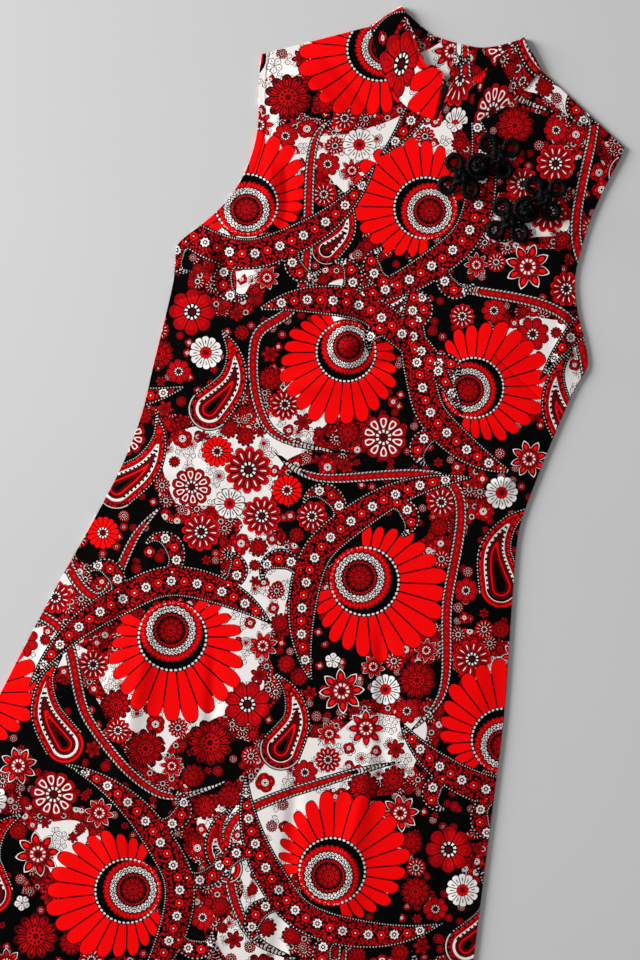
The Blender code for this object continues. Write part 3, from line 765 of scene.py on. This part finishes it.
def turned_edges(across, down):
    """Distance inside the stitches of the hem and of the turned edges of the armholes."""
    armhole = np.maximum(from_side(across, down) - ARMHOLE_TURN, 0.8 * (down - ARMPIT))
    return np.minimum(from_hem(across, down) - HEM_TURN, armhole)


def dart_lines(across, down):
    """Distance to one side of the nearer bust dart, and past its tip."""
    aside, past_tip = 0.0 * across, 0.0 * across
    for dart_across, dart_down, tip_across, tip_down in DARTS:
        here = (across < 0) == (dart_across < 0)
        run = np.array([tip_across - dart_across, tip_down - dart_down], float)
        run /= math.hypot(*run)
        away = across - dart_across, down - dart_down
        aside[here] = (away[0] * run[1] - away[1] * run[0])[here]
        past_tip[here] = ((across - tip_across) * run[0] + (down - tip_down) * run[1])[here]
    return aside, past_tip


def front_place(column, row):
    across, down = panel_place(2 * column - 1, row, FRONT_NECK_DROP, FRONT_NECK_POWER)
    return (laid(across, down, front_top(across, down)), np.stack([across, down], -1),
            (turned_edges(across, down), *dart_lines(across, down)))


front = sheet_of_cloth("front", 150, 300, front_place, 1.0)


# ------------------------ back panels
# Two pieces of the same knit, lying on the board with the middle back seam and its zip between
# them. Their printed face is underneath.

BACK_LAY = (60.0, 300.0)  # where the back was cut from the printed cloth
FAR = 99.0  # no dart near


def back_place(side):
    def place(column, row):
        share = column - 1 if side < 0 else column
        across, down = panel_place(share, row, BACK_NECK_DROP, BACK_NECK_POWER)
        across = across + side * SEAM_GAP / 2 * (1 - np.abs(share))
        return (laid(across, down, WALL), np.stack([across, down], -1) + BACK_LAY,
                (turned_edges(across, down), FAR, FAR))
    return place


backs = [sheet_of_cloth(name, 60, 200, back_place(side), WALL)
         for name, side in (("back_left", -1), ("back_right", 1))]


# ------------------------ stand collar
# Two halves of doubled and interfaced knit, each folded flat at the side of the neck. The back
# half lies on the board and the front half lies over it, open in a V at the middle of the front.

COLLAR_WALL = 1.6
COLLAR_LOW_EDGE, COLLAR_HIGH_EDGE, COLLAR_CROWN = 4.0, 6.0, 0.5  # heights of the front half
COLLAR_LONG, COLLAR_TALL = 195.0, 36.0  # of the cloth it's cut from
COLLAR_SEWN = (34.0, 1.0, 2.5)  # height; stitches above the seam and below the upper edge
COLLAR_LAY = {-1: (112.0, 646.0), 1: (140.0, 0.0)}  # where each half was cut from the cloth
FOLD_TOP, FOLD_GAP = Vector((63.0, -85.0)), 0.5
BACK_STEPS, FOLD_STEPS, FRONT_STEPS = 28, 8, 44
STEPS = BACK_STEPS + FOLD_STEPS + FRONT_STEPS
COLLAR_BACK = (
    # neckline's drop and power, gap at the middle, and the upper edge: share, across, down
    BACK_NECK_DROP, BACK_NECK_POWER, 0.2, (
        (0.00, 0.2, -63.5), (0.25, 13.0, -64.0), (0.50, 27.0, -66.0), (0.75, 43.0, -73.0),
        (1.00, *FOLD_TOP)))
COLLAR_FRONT = (
    FRONT_NECK_DROP, FRONT_NECK_POWER, 0.6, (
        (0.00, 4.0, -23.0), (0.04, 5.5, -29.0), (0.10, 10.0, -32.5), (0.25, 18.0, -33.0),
        (0.40, 27.0, -36.0), (0.60, 36.0, -48.0), (0.80, 47.0, -65.0), (1.00, *FOLD_TOP)))


def collar_place(side):
    """A half runs out from the middle of the back, round the fold and in to the front's middle."""
    low = COLLAR_WALL / 2
    shoulder_top = Vector((NECK_HALF, NECK_TOP))
    fold_line = (FOLD_TOP - shoulder_top).normalized()
    fold_low = shoulder_top + fold_line * FOLD_GAP
    outwards = Vector((-fold_line.y, fold_line.x))

    def layer_spot(rise, share, radius, drop, power, gap, upper_edge):
        """A place between the seam, one gap clear of the neckline, and the upper edge."""
        across = max(NECK_HALF * share, gap)
        fall = -drop * power * (across / NECK_HALF) ** (power - 1) / NECK_HALF
        clear = Vector((fall, -1.0)).normalized() * SEAM_GAP
        seam = Vector((across, neckline(across, drop, power))) + clear
        top = Vector((read_curve(upper_edge, 1, share), read_curve(upper_edge, 2, share)))
        return seam.lerp(fold_low, share ** 12).lerp(top, rise) - outwards * radius * share ** 6

    def spot(rise, station):
        radius = (COLLAR_LOW_EDGE + (COLLAR_HIGH_EDGE - COLLAR_LOW_EDGE) * rise - low) / 2
        if station <= BACK_STEPS:
            return layer_spot(rise, station / BACK_STEPS, radius, *COLLAR_BACK), low
        if station >= BACK_STEPS + FOLD_STEPS:
            share = (STEPS - station) / FRONT_STEPS
            crown = COLLAR_CROWN * math.sin(math.pi * rise) * (1 - share ** 4)
            return layer_spot(rise, share, radius, *COLLAR_FRONT), low + 2 * radius + crown
        angle = math.pi * ((station - BACK_STEPS) / FOLD_STEPS - 0.5)
        flat = fold_low.lerp(FOLD_TOP, rise) - outwards * radius * (1 - math.cos(angle))
        return flat, low + radius * (1 + math.sin(angle))

    def place(column, row):
        stations = STEPS * (column if side > 0 else 1 - column)
        flats, heights = zip(*map(spot, row.tolist(), stations.tolist()))
        across, down = np.array(flats).T
        cloth = np.stack([side * stations / STEPS * COLLAR_LONG, -row * COLLAR_TALL], 1)
        high, above_seam, below_edge = COLLAR_SEWN
        from_edge = np.minimum(row * high - above_seam, (1 - row) * high - below_edge)
        return (laid(side * across, down, np.array(heights)), cloth + COLLAR_LAY[side],
                (from_edge, FAR, FAR))
    return place


collars = []
for name, side in (("collar_left", -1), ("collar_right", 1)):
    collars.append(sheet_of_cloth(name, STEPS, 14, collar_place(side), COLLAR_WALL, 0.0))
    collars[-1].modifiers["wall"].use_even_offset = True


# ------------------------ zip tape
# A tape of plain woven polyester, sewn flat inside the middle back seam. Its nylon coil is sewn
# along the middle, where the two backs meet.


def zip_finish():
    """Plain woven tape, nearly black, with the coil as a fine ladder down its middle: its turns are real,
    and their lighter crests are painted highlight and the darker gaps between them painted shade.
    """
    material, node = new_finish("woven polyester tape")
    place = node("TexCoord").outputs["Object"]
    threads = node("TexChecker", place, linear("17151A"), linear("262329"), Scale=1400.0)
    # Painted light: the coil's bands are a painted highlight on each turn and painted shade in the gaps
    # between turns.
    coil = node("TexWave", place, bands_direction="Y", Scale=260.0)
    middle = node("COMPARE", node("SeparateXYZ", place), -MIDDLE_ACROSS * MM, 0.0022)
    ink = node("Mix", middle, threads, node("Mix", coil, linear("0C0B0D"), linear("3A363C")))
    relief = node("Bump", Strength=0.4, Distance=0.0003, Height=threads)
    node("OutputMaterial", node("BsdfPrincipled", Base_Color=ink, Normal=relief, Roughness=0.7,
                                Specular_IOR_Level=0.2))
    return material


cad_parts["back_zip"].material_slots[0].material = zip_finish()


# ------------------------ frogs
# Two frogs of rolled black satin cord, sewn flat on the front below the collar. In each, two
# clovers of three open loops are joined by a ball knot that stands in a button loop.

CORD, CORD_HEIGHT = 5.7, 4.8
LOOP_RADIUS, LOOP_REACH = 7.5, 15.4
CLOVER_OFFSET = 21.5
BUTTON_LOOP_RADIUS = 11.0
STEM_GAP = 0.5
KNOT_RADIUS, KNOT_HEIGHT = 8.6, 11.7
KNOT_SQUEEZE = 0.855
FROG_REST = 0.15
CORD_SIDES, CORD_ROUND = 12, 0.014  # sides, and metres round it in the satin's ribs
FROGS = (("upper_frog", (54.0, 49.0), 47.0), ("lower_frog", (111.5, 76.0), 51.0))


def satin_cord():
    """Rolled satin: a soft long gloss, with fine slanted ribs 0.9 mm apart along the cord."""
    material, node = new_finish("black satin cord")
    along = node("UVMap", uv_map="cord")
    ribs = node("TexWave", along, bands_direction="DIAGONAL", Scale=190.0, Distortion=0.6,
                Detail=1.0)
    tone = node("Mix", node("TexNoise", along, Scale=160.0), linear("020203"), linear("060607"))
    relief = node("Bump", Strength=0.6, Distance=0.0005, Height=ribs)
    node("OutputMaterial", node("BsdfPrincipled", Base_Color=tone, Normal=relief, Roughness=0.55,
                                Specular_IOR_Level=0.06))
    return material


black_satin = satin_cord()


def cord_along(bunch, route, radius, closed=False, on_ball=False):
    """Add a cord along a route of points, in millimetres, to the meshes in a bunch."""
    if closed:
        route = np.vstack([route, route[:1]])
    ahead = np.gradient(route, axis=0)
    if closed:
        ahead[0] = ahead[-1] = route[1] - route[-2]
    ahead /= np.linalg.norm(ahead, axis=1)[:, None]
    aside = np.cross(ahead, route if on_ball else (0.0, 0.0, 1.0))
    aside /= np.linalg.norm(aside, axis=1)[:, None]
    outwards = np.cross(aside, ahead)
    length = np.append(0, np.linalg.norm(np.diff(route, axis=0), axis=1).cumsum())
    rows = len(route) - 1
    tube = bmesh.new()
    bmesh.ops.create_grid(tube, x_segments=CORD_SIDES, y_segments=rows, size=0.5)
    spread = tube.loops.layers.uv.new("cord")
    for face in tube.faces:
        for loop in face.loops:
            row = round((loop.vert.co.y + 0.5) * rows)
            loop[spread].uv = (loop.vert.co.x + 0.5) * CORD_ROUND, length[row] * MM
    for vertex in tube.verts:
        row = round((vertex.co.y + 0.5) * rows)
        angle = math.tau * vertex.co.x
        vertex.co = Vector(route[row] + radius * (
            math.cos(angle) * outwards[row] + math.sin(angle) * aside[row]))
    bmesh.ops.remove_doubles(tube, verts=tube.verts, dist=0.001)
    bmesh.ops.holes_fill(tube, edges=[edge for edge in tube.edges if edge.is_boundary])
    bmesh.ops.recalc_face_normals(tube, faces=tube.faces)
    bunch.append(new_mesh("cord", tube))


def woven_round(radius, bights):
    """The route of a cord that goes three times round a ball, over and under itself."""
    share = np.linspace(0, math.tau, 30 * bights, endpoint=False)
    rise = math.radians(52) * np.sin(bights * share)
    reach = radius + 0.75 * np.sin(2 * bights * share) - 0.4
    return np.column_stack([reach * np.cos(rise) * np.cos(3 * share),
                            reach * np.cos(rise) * np.sin(3 * share), reach * np.sin(rise)])


def clover_cords(side):
    """The cords of one half of a frog, flat, with its knot at the origin."""
    bunch = []
    for heading, tilt in ((0.0, 1), (98.0, -1), (-98.0, 1)):
        heading = math.radians(heading)
        ahead = np.array([math.cos(heading), math.sin(heading)])
        aside = np.array([-ahead[1], ahead[0]]) * tilt
        turn = np.radians(np.linspace(-155, 155, 26))[:, None]
        draw_in = 1 - 0.22 * ((1 - np.cos(turn)) / 2) ** 2
        loop = ahead * (LOOP_REACH + LOOP_RADIUS * np.cos(turn)) + (
            aside * LOOP_RADIUS * draw_in * np.sin(turn))
        flat = (CLOVER_OFFSET, 0.0) + np.vstack([
            aside * 4.6 - ahead * 5.5, aside * 0.6 + ahead, loop, ahead - aside * 0.6,
            -aside * 4.6 - ahead * 5.5])
        high = np.interp(np.arange(30), [0, 1, 5, 24, 28, 29], [-0.9, -0.3, 0, 0, 1.5, 0.2])
        cord_along(bunch, sweep(np.column_stack([flat, high]), 3), CORD / 2)
    heart = woven_round(6.2, 5)
    heart[:, 2] = heart[:, 2] * 0.45 + 1.1
    cord_along(bunch, heart + (CLOVER_OFFSET, 0.0, 0.0), CORD * 0.42, closed=True)
    stem = CORD / 2 + 0.1
    if side > 0:
        turn = np.radians(np.linspace(24, 336, 30))
        ring = BUTTON_LOOP_RADIUS * np.column_stack([np.cos(turn), np.sin(turn)])
        bend = BUTTON_LOOP_RADIUS + 5.5
        flat = np.vstack([[CLOVER_OFFSET, stem], [bend, stem], ring, [bend, -stem],
                          [CLOVER_OFFSET, -stem]])
        cord_along(bunch, sweep(np.column_stack([flat, 0 * flat[:, 0]]), 3), CORD / 2)
    else:
        near = BUTTON_LOOP_RADIUS + CORD / 2 + STEM_GAP
        for place in (stem, -stem):
            run = np.linspace(near, CLOVER_OFFSET, 9)
            cord_along(bunch, np.column_stack([run, 0 * run + place, 0 * run]), CORD / 2)
    return bunch


def knot_cords():
    """A ball knot of one cord, woven round a core."""
    bunch = []
    thick = 2.2
    radius = KNOT_RADIUS - thick
    cord_along(bunch, woven_round(radius, 4), thick, closed=True, on_ball=True)
    core = bmesh.new()
    bmesh.ops.create_icosphere(core, subdivisions=2, radius=radius - 0.2)
    bunch.append(new_mesh("core", core))
    return bunch


def sew_on(name, node, bunch, side, spot, turn, lift, squeeze):
    """Join a bunch of cords into one piece, and lay it on the front panel at its place."""
    joined = bmesh.new()
    for mesh in bunch:
        joined.from_mesh(mesh)
        bpy.data.meshes.remove(mesh)
    bmesh.ops.scale(joined, verts=joined.verts, vec=(side, side, 1.0))
    bmesh.ops.rotate(joined, verts=joined.verts, matrix=Matrix.Rotation(math.radians(turn), 3, "Z"))
    places = np.array([vertex.co for vertex in joined.verts])
    across, down = spot[0] + places[:, 0], spot[1] - places[:, 1]
    height = front_top(across, down) + FROG_REST + lift + places[:, 2] * squeeze
    for vertex, place in zip(joined.verts, to_world(across, down, height)):
        vertex.co = place
    piece = new_object(name, new_mesh(name, joined))
    piece.data.shade_smooth()
    piece.data.materials.append(black_satin)
    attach(piece, "root")
    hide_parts(node)


for frog, spot, turn in FROGS:
    for half, side in (("left", -1), ("right", 1)):
        sew_on(f"{frog}_{half}_cord", f"{frog}_{half}", clover_cords(side), side, spot, turn,
               CORD_HEIGHT / 2, CORD_HEIGHT / CORD)
    sew_on(f"{frog}_ball_knot", f"{frog}_knot", knot_cords(), 1, spot, turn, KNOT_HEIGHT / 2,
           KNOT_SQUEEZE)
